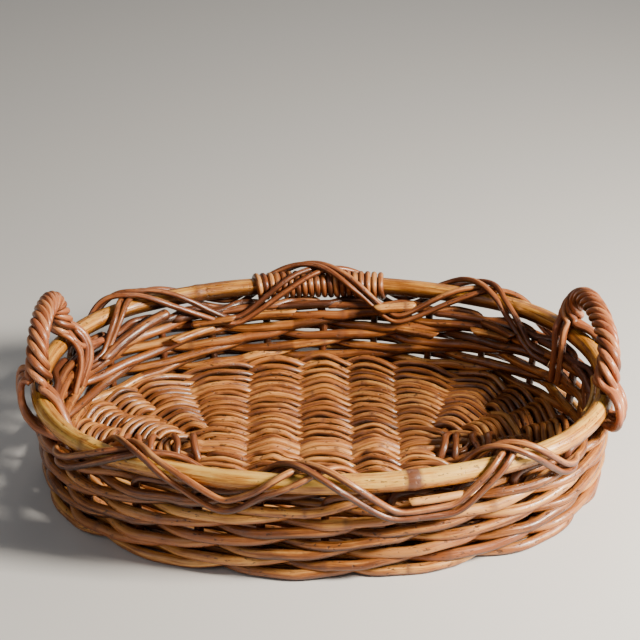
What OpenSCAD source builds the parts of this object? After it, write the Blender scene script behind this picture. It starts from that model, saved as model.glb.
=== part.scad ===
// Oval woven cane fruit basket with a round cane rim hoop, laced scallops
// and two rope-twisted handles.
// +Z is up and z = 0 is the surface that the basket stands on. The origin is
// under the middle of the basket. +X points to the right handle, -Y to the front.
// All sizes are in millimetres.

/* [Rim hoop] */
// Half of the rim's length, to the middle of the hoop cane
rim_a = 250; // [220:1:280]
// Half of the rim's width, to the middle of the hoop cane
rim_b = 180; // [172:1:190]
// Radius of the rim's rounded ends
rim_end_r = 160; // [150:1:166]
// Height of the middle of the hoop cane
rim_z = 93.5; // [92:0.5:104]
// Diameter of the hoop cane
rim_d = 16.5; // [14:0.5:18]

/* [Rim binding] */
// Number of turns of thin cane that cover the hoop's joint
binding_turns = 20; // [8:2:24]
// Diameter of the binding cane
binding_d = 5.6; // [4:0.2:6]

/* [Wall] */
// Rounds of weaving in the wall
wale_rounds = 7; // [7:1:7]
// Height from one round to the next
wale_pitch = 10.75; // [9.5:0.05:10.75]
// Diameter of the wall canes
wale_d = 8.5; // [7:0.1:9]
// How far the wall leans in from top to bottom
wall_lean = 6; // [2:0.5:8]

/* [Stakes] */
// Diameter of the upright stakes
stake_d = 7.5; // [6:0.1:8]
// Stakes along each of the rim's four arcs
stakes_per_arc = 6; // [4:1:7]
// Length of the foot that each stake pushes into the base
stake_foot = 25; // [15:1:30]

/* [Base] */
// Diameter of the cross sticks and end sticks
base_stick_d = 8; // [6:0.1:8]
// Distance between the cross sticks
cross_pitch = 46; // [40:1:46]
// Diameter of the two long sticks
long_stick_d = 7; // [5:0.1:7]
// Half of the length of the long sticks
long_half = 122; // [110:1:123]
// Diameter of the floor weavers
weaver_d = 6.5; // [5:0.1:6.6]
// Rounds of weaving in the floor
floor_rounds = 15; // [8:1:15]

/* [Lacing] */
// Diameter of the lacing canes
lace_d = 5.4; // [4:0.1:5.4]
// Distance from one scallop to the next along the rim
lace_pitch = 160; // [150:1:168]
// Half of the length of a scallop
lace_half = 60; // [50:1:60]

/* [Handles] */
// Half of the distance between the legs of the right handle, along the rim
right_half = 66; // [56:1:68]
// Half of the distance between the legs of the left handle, along the rim
left_half = 56; // [56:1:68]
// Height of the middle of the right rope at its top, above the hoop's middle
right_rise = 53; // [50:1:90]
// Height of the middle of the left rope at its top, above the hoop's middle
left_rise = 59; // [50:1:90]
// How far the handle leans outward
handle_lean = 3; // [0:1:12]
// How far the right handle sits towards the back, along the rim
right_shift = 15; // [0:1:15]
// How far the left handle sits towards the back, along the rim
left_shift = 10; // [0:1:15]
// Diameter of the bowed cane inside the rope
core_d = 7.4; // [6:0.1:7.6]
// Diameter of the strands
strand_d = 6.6; // [5:0.1:6.8]
// Number of strands in a rope
strands = 5; // [5:1:5]

/* [Hidden] */
$fn = 96;

// Small gap that keeps touching canes apart
gap = 0.2;
// How far the lengths of an oval stay back from the places where they meet
joint_gap = 0.2;

// Colours of the cane
pale_cane = "#c99a55";
warm_cane = "#b0713a";
floor_cane = "#b57a48";
red_cane = "#8e5230";

// Geometry of the rim: an oval of four arcs. The end arcs turn about
// (+-end_cx, 0) and the side arcs about (0, -+side_cy).
function side_radius(a, b, r) = ((a - r) * (a - r) + b * b - r * r) / (2 * (b - r));
end_cx = rim_a - rim_end_r;
side_r = side_radius(rim_a, rim_b, rim_end_r);
side_cy = side_r - rim_b;
// Angle at which an end arc meets a side arc
meet = atan2(side_cy, end_cx);
// Lengths of half an end arc and of a quarter of the rim
end_half_arc = rim_end_r * meet * PI / 180;
quarter = end_half_arc + side_r * (90 - meet) * PI / 180;

// Levels of the base, from the bottom up
foot_flat = 0.6;
stick_z = 11.5;
weave_upper_z = stick_z + base_stick_d / 2 + weaver_d / 2;
weave_lower_z = stick_z - base_stick_d / 2 - weaver_d / 2;
long_stick_z = stick_z + base_stick_d / 2 + long_stick_d / 2;
long_stick_y = long_stick_d / 2 + 1.4;

// Levels of the wall
first_wale_z = wale_d / 2 - foot_flat;
first_inner_round = 3;
border_z = first_wale_z + wale_rounds * wale_pitch - 0.5;

// Distances from the rim's middle line: outward is positive
stake_off_top = -5;
// Extra thickness of a stake at its bends, and what its top is thinner by
knuckle_swell = 0.5;
border_taper = 0.3;
wale_gap = stake_d / 2 + wale_d / 2 + gap;

// Lean of the wall at height z
function lean_at(z) = wall_lean * (1 - min(z, border_z) / border_z);

// Floor rounds grow from around the long sticks out to the stakes
floor_inner_b = long_stick_y + long_stick_d / 2 + weaver_d / 2 + 1.5 * gap;
floor_inner_r = 0.876 * floor_inner_b;
floor_inner_a = long_half + floor_inner_r + 1;
floor_margin = stake_off_top - wall_lean - stake_d / 2 - weaver_d / 2 - 3.4;
floor_outer_a = rim_a + floor_margin;
floor_outer_b = rim_b + floor_margin;
floor_outer_r = rim_end_r + floor_margin;
stick_margin = stake_off_top - wall_lean - stake_foot - 2;

// Lacing canes pass this far from the middle of the hoop cane
lace_clear = rim_d / 2 + lace_d / 2 + gap;
lace_side = 13.8;
lace_out_drop = 26;
lace_in_drop = 16;
lace_cross = 0.6;
lace_pair = 6.5;
lace_steps = 12;
front_lace_mid = -11;
back_lace_mid = -7;

// Handle rope
rope_slack = 0.5;
rope_r = core_d / 2 + strand_d / 2 + rope_slack;
core_lift = 0.5;
rope_foot = 16;
rope_turns = 3 + 1 / strands;
rope_steps = 32;
wrap_clear = rim_d / 2 + strand_d / 2 + 0.25;
// The arch is a sine bow, made fuller by powers below one
bow_rise = 0.8;
bow_width = 0.85;
// How far the strands spread along the hoop at a leg
wrap_spread = 8.4;

function unit(v) = v / norm(v);

// Point of the first quarter of the oval at arc length s from the +X end,
// as [x, y, direction of the outward normal]
function quarter_point(s) =
    s < end_half_arc
    ? let (n = s / rim_end_r * 180 / PI)
        [end_cx + rim_end_r * cos(n), rim_end_r * sin(n), n]
    : let (n = meet + (s - end_half_arc) / side_r * 180 / PI)
        [side_r * cos(n), side_r * sin(n) - side_cy, n];

// Point of the whole oval at arc length s, anticlockwise from the +X end
function oval_point(s) =
    s < 0 ? oval_point(s + 4 * quarter) :
    s < quarter ? quarter_point(s) :
    s < 2 * quarter ? let (p = quarter_point(2 * quarter - s)) [-p.x, p.y, 180 - p.z] :
    s < 4 * quarter ? let (p = oval_point(s - 2 * quarter)) [-p.x, -p.y, 180 + p.z] :
    oval_point(s - 4 * quarter);

// Point beside the hoop cane: u outward from its middle, v up from it
function beside_rim(s, u, v) =
    let (p = oval_point(s))
    [p.x + u * cos(p.z), p.y + u * sin(p.z), rim_z + v];

// Directions along a path, and one normal at each point that doesn't twist
function heading(p, i) = unit(p[min(i + 1, len(p) - 1)] - p[max(i - 1, 0)]);
function any_normal(t) = unit(cross(t, abs(t.x) < 0.7 ? [1, 0, 0] : [0, 1, 0]));
function square_to(n, t) = unit(n - (n * t) * t);
function normals(p) = [
    for (i = 0, n = any_normal(heading(p, 0));
         i < len(p);
         i = i + 1, n = i < len(p) ? square_to(n, heading(p, i)) : n) n
];

// A cane that follows the points of a path
module cane(p, d, sides = 8) {
    n = normals(p);
    count = len(p);
    rings = [
        for (i = [0 : count - 1], k = [0 : sides - 1])
            let (t = heading(p, i), m = cross(t, n[i]), a = 360 * k / sides)
            p[i] + d / 2 * (cos(a) * n[i] + sin(a) * m)
    ];
    skin = [
        for (i = [0 : count - 2], k = [0 : sides - 1])
            let (next = (k + 1) % sides)
            [i * sides + k, (i + 1) * sides + k, (i + 1) * sides + next, i * sides + next]
    ];
    first = [for (k = [0 : sides - 1]) k];
    last = [for (k = [sides - 1 : -1 : 0]) (count - 1) * sides + k];
    polyhedron(rings, concat(skin, [first], [last]), convexity = 6);
}

// One arc of round cane about the origin
module cane_arc(radius, d, from, sweep) {
    rotate([0, 0, from])
        rotate_extrude(angle = sweep, $fn = 180)
            translate([radius, 0])
                circle(d = d, $fn = 24);
}

// An oval of cane: half length a, half width b, end radius r. It is laid in
// four lengths, which meet end to end where an end arc joins a side arc.
module cane_oval(a, b, r, d) {
    big = side_radius(a, b, r);
    turn = atan2(big - b, a - r);
    r_trim = joint_gap / r * 180 / PI;
    big_trim = joint_gap / big * 180 / PI;
    for (half = [0, 180])
        rotate([0, 0, half]) {
            translate([a - r, 0, 0])
                cane_arc(r, d, r_trim - turn, 2 * (turn - r_trim));
            translate([0, b - big, 0])
                cane_arc(big, d, turn + big_trim, 180 - 2 * (turn + big_trim));
        }
}

// A closed oval of cane that runs beside the rim's middle line
module rim_parallel(off, d) {
    cane_oval(rim_a + off, rim_b + off, rim_end_r + off, d);
}

module rim_hoop() {
    color(pale_cane)
        translate([0, 0, rim_z])
            rim_parallel(0, rim_d);
}

// Thin cane wound round the hoop at the middle of the back
module rim_binding() {
    turn_room = 0.8;
    turn_gap = 0.1;
    turn_pitch = binding_d + turn_room;
    color(red_cane)
        for (i = [0 : binding_turns - 1])
            let (s = (i - (binding_turns - 1) / 2) * turn_pitch,
                 n = 90 - s / side_r * 180 / PI)
            translate([side_r * cos(n), side_r * sin(n) - side_cy, rim_z])
                rotate([0, 90, n - 90])
                    rotate_extrude($fn = 48)
                        translate([rim_d / 2 + binding_d / 2 + turn_gap, 0])
                            circle(d = binding_d, $fn = 24);
}

// Split cane that lies along the inside of the hoop, by the right handle's front leg
module rim_splint() {
    splint_d = 5.4;
    sag = 2;
    from_angle = -31;
    sweep = 30;
    color(pale_cane)
        translate([end_cx, 0, rim_z - sag])
            cane_arc(rim_end_r - rim_d / 2 - splint_d / 2 - 2 * gap, splint_d,
                     from_angle, sweep);
}

// One round of the wall: an outer cane and, above the floor, an inner one.
// The lowest round stands on the table, so its underside is worn flat.
module wale(round_no) {
    z = first_wale_z + (round_no - 1) * wale_pitch;
    stake_off = stake_off_top - lean_at(z);
    color(warm_cane)
        difference() {
            union() {
                translate([0, 0, z])
                    rim_parallel(stake_off + wale_gap, wale_d);
                if (round_no >= first_inner_round)
                    translate([0, 0, z])
                        rim_parallel(stake_off - wale_gap, wale_d);
            }
            if (round_no == 1)
                translate([0, 0, -wale_d])
                    cube([3 * rim_a, 3 * rim_b, 2 * wale_d], center = true);
        }
}

// One stake in the upright plane through an arc's centre: a foot in the base,
// an upright, and a top that bends over and runs on under the rim
module stake(arc_r, at, step) {
    low_r = arc_r + stake_off_top - lean_at(stick_z);
    top_r = arc_r + stake_off_top;
    rise = border_z - stick_z;
    knuckle = stake_d + knuckle_swell;
    end_gap = (knuckle / 2 + 2 * gap) / top_r * 180 / PI;
    rotate([0, 0, at]) {
        translate([low_r - stake_foot, 0, stick_z])
            rotate([0, 90, 0])
                cylinder(d = stake_d, h = stake_foot, $fn = 24);
        translate([low_r, 0, stick_z]) {
            sphere(d = knuckle, $fn = 24);
            rotate([0, atan2(top_r - low_r, rise), 0])
                cylinder(d = stake_d, h = norm([rise, top_r - low_r]), $fn = 24);
        }
        translate([top_r, 0, border_z])
            sphere(d = knuckle, $fn = 24);
    }
    translate([0, 0, border_z])
        cane_arc(top_r, stake_d - border_taper, at, step - end_gap);
}

// The stakes of an end of the basket, or of a side
module end_stakes() {
    step = 2 * meet / stakes_per_arc;
    color(red_cane)
        translate([end_cx, 0, 0])
            for (i = [0 : stakes_per_arc - 1])
                stake(rim_end_r, -meet + i * step, step);
}

module side_stakes() {
    step = (180 - 2 * meet) / stakes_per_arc;
    color(red_cane)
        translate([0, -side_cy, 0])
            for (i = [0 : stakes_per_arc - 1])
                stake(side_r, meet + i * step, step);
}

// Half of the width of the floor's sticks at x, inside the stakes' feet
function stick_reach(x) =
    let (r = side_r + stick_margin)
    sqrt(r * r - x * x) - side_cy;

module base_cross_sticks() {
    color(floor_cane)
        for (i = [-2 : 2])
            let (reach = stick_reach(i * cross_pitch))
            translate([i * cross_pitch, -reach, stick_z])
                rotate([-90, 0, 0])
                    cylinder(d = base_stick_d, h = 2 * reach, $fn = 24);
}

module base_long_sticks() {
    color(floor_cane)
        for (side = [-1, 1])
            translate([-long_half, side * long_stick_y, long_stick_z])
                rotate([0, 90, 0])
                    cylinder(d = long_stick_d, h = 2 * long_half, $fn = 24);
}

// Sticks that fan out from the end of the base to the rounded end of the wall
module base_end_sticks() {
    fan_start = 30;
    fan_count = 5;
    fan_step = 29;
    color(floor_cane)
        translate([end_cx, 0, stick_z])
            for (i = [0 : fan_count - 1])
                rotate([0, 0, (i - (fan_count - 1) / 2) * fan_step])
                    translate([fan_start, 0, 0])
                        rotate([0, 90, 0])
                            cylinder(d = base_stick_d, $fn = 24,
                                     h = rim_end_r + stick_margin - fan_start);
}

// Rounds of floor weaving at one level
module floor_weave(z) {
    color(floor_cane)
        translate([0, 0, z])
            for (i = [0 : floor_rounds - 1])
                let (f = i / (floor_rounds - 1),
                     a = floor_inner_a + f * (floor_outer_a - floor_inner_a),
                     b = floor_inner_b + f * (floor_outer_b - floor_inner_b),
                     r = floor_inner_r + f * (floor_outer_r - floor_inner_r))
                cane_oval(a, b, r, weaver_d);
}

// Route of one lacing cane over the hoop. It starts outside the wall for
// way = 1, or inside for way = -1, and ends on the other side.
function lace_path(middle, shift, way, top) = [
    for (i = [0 : lace_steps])
        let (t = 2 * i / lace_steps - 1,
             outside = way * t < 0,
             over = max(-1, min(1, t / lace_cross)),
             drop = outside ? lace_out_drop : lace_in_drop)
        beside_rim(middle + shift + t * lace_half,
                   -way * lace_side * sin(90 * over),
                   top - (top + drop) * t * t)
];

// One scallop: two pairs of canes that cross on top of the hoop
module lacing(middle, extra) {
    low = lace_clear + extra;
    high = low + lace_d + 0.35;
    color(red_cane)
        for (shift = [-lace_pair, lace_pair]) {
            cane(lace_path(middle, shift, 1, low), lace_d);
            cane(lace_path(middle, shift, -1, high), lace_d);
        }
}

module lacing_front(place) {
    lacing(3 * quarter + front_lace_mid + place * lace_pitch, 0);
}

// The middle scallop at the back rides over the binding
module lacing_back(place) {
    lacing(quarter - back_lace_mid - place * lace_pitch,
           place == 0 ? binding_d + 0.3 : 0);
}

// Where a leg of a handle meets the rim, for half of the distance between legs
function leg_angle(half) = half / rim_end_r * 180 / PI;
function leg_x(half) = end_cx + rim_end_r * cos(leg_angle(half));
function leg_y(half) = rim_end_r * sin(leg_angle(half));

// Middle line of a rope of a given half and rise, for t from 0 to 1, at the
// right end
function arch(t, half, rise) =
    let (side = cos(180 * t),
         up = pow(sin(180 * t), bow_rise),
         lift = rise - rope_foot)
    [leg_x(half) + handle_lean * up,
     leg_y(half) * sign(side) * pow(abs(side), bow_width),
     rim_z + rope_foot + lift * up];

// Position along the arch of the point with number i
function rope_t(i) = i / rope_steps;

// Point of a strand that winds round the rope
function on_rope(i, turn_angle, half, rise) =
    let (t = rope_t(i),
         ahead = unit(arch(min(t + 0.004, 1), half, rise)
                      - arch(max(t - 0.004, 0), half, rise)),
         out = square_to([1, 0, 0], ahead),
         across = cross(ahead, out))
    arch(t, half, rise)
    + rope_r * (cos(turn_angle) * out + sin(turn_angle) * across);

// Route of a strand's end round the hoop. Strands on the outside of the leg
// go round the outside of the hoop and under it, and the others go inside.
function wrap_angles(turn_angle) =
    cos(turn_angle) > 0.8 ? [48, 22, -5, -35, -68] :
    cos(turn_angle) > 0 ? [76, 52, 22, -5, -35, -68] :
    [128, 152, 178, 203];
function wrap(turn_angle, leg_side, half) = [
    for (a = wrap_angles(turn_angle))
        beside_rim(leg_side * (half + wrap_spread * sin(turn_angle)),
                   wrap_clear * cos(a), wrap_clear * sin(a))
];
function backward(p) = [for (i = [len(p) - 1 : -1 : 0]) p[i]];

// One strand of a handle at the right end, from its wrap at the back to the
// front one
function strand_path(k, half, rise) =
    let (start = 360 * k / strands,
         phase = leg_angle(half),
         stop = start - 360 * rope_turns)
    concat(
        backward(wrap(start, 1, half)),
        [for (i = [0 : rope_steps])
            on_rope(i, start + phase - 360 * rope_turns * rope_t(i), half, rise)],
        wrap(stop, -1, half));

module handle_strand(k, half, rise) {
    color(red_cane)
        cane(strand_path(k, half, rise), strand_d);
}

// Puts a piece of the right handle in its place along the rim, or on the left
module at_right() {
    swing_about_end(right_shift)
        children();
}
module at_left() {
    rotate([0, 0, 180])
        swing_about_end(-left_shift)
            children();
}
module swing_about_end(shift) {
    translate([end_cx, 0, 0])
        rotate([0, 0, shift / rim_end_r * 180 / PI])
            translate([-end_cx, 0, 0])
                children();
}

// Bowed cane inside the rope, standing on the hoop
module handle_core(half, rise) {
    foot_z = rim_z + rim_d / 2 + core_lift;
    foot_back = [leg_x(half), leg_y(half), foot_z];
    foot_front = [leg_x(half), -leg_y(half), foot_z];
    color(warm_cane)
        cane(concat([foot_back],
                    [for (i = [0 : 2 : rope_steps]) arch(rope_t(i), half, rise)],
                    [foot_front]),
             core_d, 10);
}

rim_hoop();
rim_binding();
rim_splint();
wale(1);  // wale_1
wale(2);  // wale_2
wale(3);  // wale_3
wale(4);  // wale_4
wale(5);  // wale_5
wale(6);  // wale_6
wale(7);  // wale_7
end_stakes();  // stakes_right
side_stakes();  // stakes_back
rotate([0, 0, 180]) end_stakes();  // stakes_left
rotate([0, 0, 180]) side_stakes();  // stakes_front
base_cross_sticks();
base_long_sticks();
rotate([0, 0, 180]) base_end_sticks();  // base_end_sticks_left
base_end_sticks();  // base_end_sticks_right
floor_weave(weave_upper_z);  // floor_weave_upper
floor_weave(weave_lower_z);  // floor_weave_lower
lacing_front(-1);  // lacing_front_left
lacing_front(0);  // lacing_front_middle
lacing_front(1);  // lacing_front_right
lacing_back(-1);  // lacing_back_left
lacing_back(0);  // lacing_back_middle
lacing_back(1);  // lacing_back_right
at_left() handle_core(left_half, left_rise);  // handle_left_core
at_left() handle_strand(0, left_half, left_rise);  // handle_left_strand_1
at_left() handle_strand(1, left_half, left_rise);  // handle_left_strand_2
at_left() handle_strand(2, left_half, left_rise);  // handle_left_strand_3
at_left() handle_strand(3, left_half, left_rise);  // handle_left_strand_4
at_left() handle_strand(4, left_half, left_rise);  // handle_left_strand_5
at_right() handle_core(right_half, right_rise);  // handle_right_core
at_right() handle_strand(0, right_half, right_rise);  // handle_right_strand_1
at_right() handle_strand(1, right_half, right_rise);  // handle_right_strand_2
at_right() handle_strand(2, right_half, right_rise);  // handle_right_strand_3
at_right() handle_strand(3, right_half, right_rise);  // handle_right_strand_4
at_right() handle_strand(4, right_half, right_rise);  // handle_right_strand_5
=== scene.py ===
"""Looks of the woven fruit basket: every cane is a swept tube that really passes
over and under its neighbours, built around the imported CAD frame. Metres, +Z up,
+X to the right handle, -Y to the front."""
import math

import bpy
import numpy as np
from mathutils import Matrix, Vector


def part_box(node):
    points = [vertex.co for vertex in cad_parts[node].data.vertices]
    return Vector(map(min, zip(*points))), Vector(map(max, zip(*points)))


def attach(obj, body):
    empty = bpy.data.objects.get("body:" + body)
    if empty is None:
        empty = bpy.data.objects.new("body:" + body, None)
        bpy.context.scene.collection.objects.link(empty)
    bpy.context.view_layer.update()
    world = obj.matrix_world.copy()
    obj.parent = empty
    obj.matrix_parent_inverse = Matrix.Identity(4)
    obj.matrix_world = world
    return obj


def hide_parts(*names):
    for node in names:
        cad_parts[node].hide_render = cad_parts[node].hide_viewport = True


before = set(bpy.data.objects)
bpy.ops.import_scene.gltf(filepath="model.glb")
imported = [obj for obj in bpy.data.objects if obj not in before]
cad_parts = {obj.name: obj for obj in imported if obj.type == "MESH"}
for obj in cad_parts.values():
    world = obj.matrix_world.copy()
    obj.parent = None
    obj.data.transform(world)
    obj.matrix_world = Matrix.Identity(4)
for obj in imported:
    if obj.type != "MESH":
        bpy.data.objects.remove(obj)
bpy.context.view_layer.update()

MM = 0.001
TAU = 2 * math.pi
rng = np.random.RandomState(11)

# ---------------------------------------------------------------- camera
# Framing of the view: it looks down at the basket from the front
LOOK_DOWN = math.radians(27.55)
CAMERA_YAW = 0.0105
CAMERA_DISTANCE = 1.512
CAMERA_SIDE = -0.0024
AIM_HEIGHT = 0.1475
FOCAL_OF_FRAME = 2.7016
SENSOR = 36.0


def make_camera():
    back = -CAMERA_DISTANCE * math.cos(LOOK_DOWN)
    cos_yaw, sin_yaw = math.cos(CAMERA_YAW), math.sin(CAMERA_YAW)
    data = bpy.data.cameras.new("camera")
    data.sensor_width = SENSOR
    data.lens = FOCAL_OF_FRAME * SENSOR
    data.clip_end = 50
    camera = bpy.data.objects.new("camera", data)
    camera.location = (CAMERA_SIDE * cos_yaw + back * sin_yaw,
                       back * cos_yaw - CAMERA_SIDE * sin_yaw,
                       AIM_HEIGHT + CAMERA_DISTANCE * math.sin(LOOK_DOWN))
    camera.rotation_euler = (math.pi / 2 - LOOK_DOWN, 0, -CAMERA_YAW)
    bpy.context.scene.collection.objects.link(camera)
    bpy.context.scene.camera = camera


make_camera()

# ---------------------------------------------------------------- frame sizes
rim_low, rim_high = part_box("rim_hoop")
RIM_R = (rim_high.z - rim_low.z) / 2
RIM_Z = (rim_high.z + rim_low.z) / 2
RIM_A = (rim_high.x - rim_low.x) / 2 - RIM_R
RIM_B = (rim_high.y - rim_low.y) / 2 - RIM_R
END_R = 160 * MM
END_CX = RIM_A - END_R
SIDE_R = (END_CX ** 2 + RIM_B ** 2 - END_R ** 2) / (2 * (RIM_B - END_R))
SIDE_CY = SIDE_R - RIM_B
MEET = math.atan2(SIDE_CY, END_CX)
HALF_END = END_R * MEET
QUARTER = HALF_END + SIDE_R * (math.pi / 2 - MEET)
PERIMETER = 4 * QUARTER

STAKES = 24
STAKE_R = 3.75 * MM
STAKE_OFF = -5 * MM
WALL_LEAN = 6 * MM
_, stake_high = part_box("stakes_front")
FRAME_KNUCKLE_R = 4 * MM
BORDER_Z = stake_high.z - FRAME_KNUCKLE_R
cross_low, cross_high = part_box("base_cross_sticks")
STICK_Z = (cross_low.z + cross_high.z) / 2
STICK_R = (cross_high.z - cross_low.z) / 2
CROSS_PITCH = (cross_high.x - STICK_R) / 2
# The cross sticks aren't quite evenly spread
STICK_X = np.array([-2 * CROSS_PITCH - 2 * MM, -CROSS_PITCH + 1 * MM, 4 * MM,
                    CROSS_PITCH + 3 * MM, 2 * CROSS_PITCH])
FAN_EDGE = 58
weave_low, weave_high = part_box("floor_weave_upper")
WEAVER_R = (weave_high.z - weave_low.z) / 2
HUMP = STICK_R + WEAVER_R - 0.4 * MM
_, long_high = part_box("base_long_sticks")
WALES = ["wale_%d" % i for i in range(1, 8)]
WALE_R = 4.3 * MM
FRAME_WALE_R = 4.25 * MM
FRAME_CORE_R = 3.7 * MM


def wale_height(name):
    """Height of the middle of a wall round's rods in the frame."""
    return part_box(name)[1].z - FRAME_WALE_R


# ---------------------------------------------------------------- rim geometry
def quarter_point(s):
    """(x, y, normal angle) on the first quarter of the rim, s from the +X end."""
    if s < HALF_END:
        n = s / END_R
        return END_CX + END_R * math.cos(n), END_R * math.sin(n), n
    n = MEET + (s - HALF_END) / SIDE_R
    return SIDE_R * math.cos(n), SIDE_R * math.sin(n) - SIDE_CY, n


def rim_point(s):
    """(x, y, normal angle) on the rim's middle line at arc length s."""
    s %= PERIMETER
    if s < QUARTER:
        return quarter_point(s)
    if s < 2 * QUARTER:
        x, y, n = quarter_point(2 * QUARTER - s)
        return -x, y, math.pi - n
    x, y, n = rim_point(s - 2 * QUARTER)
    return -x, -y, n + math.pi


def beside(s, u, z):
    """Point at height z, u outward from the rim's middle line at s."""
    x, y, n = rim_point(s)
    return np.array([x + u * math.cos(n), y + u * math.sin(n), z])


def stake_off(z):
    """How far outward of the rim's middle line the stakes stand at height z."""
    return STAKE_OFF - WALL_LEAN * (1 - min(z, BORDER_Z) / BORDER_Z)


# Each of the rim's four arcs carries six stakes
STAKE_S = [-HALF_END + 2 * HALF_END * i / 6 for i in range(6)]
STAKE_S += [HALF_END + 2 * (QUARTER - HALF_END) * i / 6 for i in range(6)]
STAKE_S += [s + 2 * QUARTER for s in STAKE_S]
STAKE_KNOTS = np.array(STAKE_S + [STAKE_S[0] + PERIMETER])


def stake_count(s):
    """Continuous count of stakes passed at arc length s."""
    s = np.asarray(s, float) - STAKE_S[0]
    turns = np.floor(s / PERIMETER)
    part = s - turns * PERIMETER + STAKE_S[0]
    return turns * STAKES + np.interp(part, STAKE_KNOTS, np.arange(STAKES + 1))


# ---------------------------------------------------------------- canes
def wander(n, size, waves, closed=False):
    """Smooth random offsets along a cane of n rings."""
    x = np.linspace(0, 1, n, endpoint=not closed)
    out = np.zeros(n)
    for _ in range(5):
        f = rng.randint(1, max(2, int(waves))) if closed else rng.uniform(0.5, waves)
        out += rng.normal() * np.cos(TAU * f * x + rng.uniform(0, TAU))
    return out * size / 2.2


def cane_frame(p, closed):
    """Unit directions at each ring of a cane: along it and two across it, which
    turn as little as they can from ring to ring."""
    n = len(p)
    if closed:
        t = np.roll(p, -1, 0) - np.roll(p, 1, 0)
    else:
        t = np.gradient(p, axis=0)
    t /= np.linalg.norm(t, axis=1)[:, None]
    start = np.array((0.0, 0.0, 1.0))
    if abs(start @ t[0]) > 0.95:
        start = np.array((1.0, 0.0, 0.0))
    v = start - (start @ t[0]) * t[0]
    side = np.zeros((n, 3))
    for i in range(n):
        v = v - (v @ t[i]) * t[i]
        v /= np.linalg.norm(v)
        side[i] = v
    if closed:
        # The turn that is left over where the ends meet is shared out
        w = side[-1] - (side[-1] @ t[0]) * t[0]
        w /= np.linalg.norm(w)
        gap = math.atan2(np.cross(w, side[0]) @ t[0], w @ side[0])
        turn = gap * np.arange(n) / n
        other = np.cross(t, side)
        side = side * np.cos(turn)[:, None] + other * np.sin(turn)[:, None]
    return t, side, np.cross(t, side)


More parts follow.
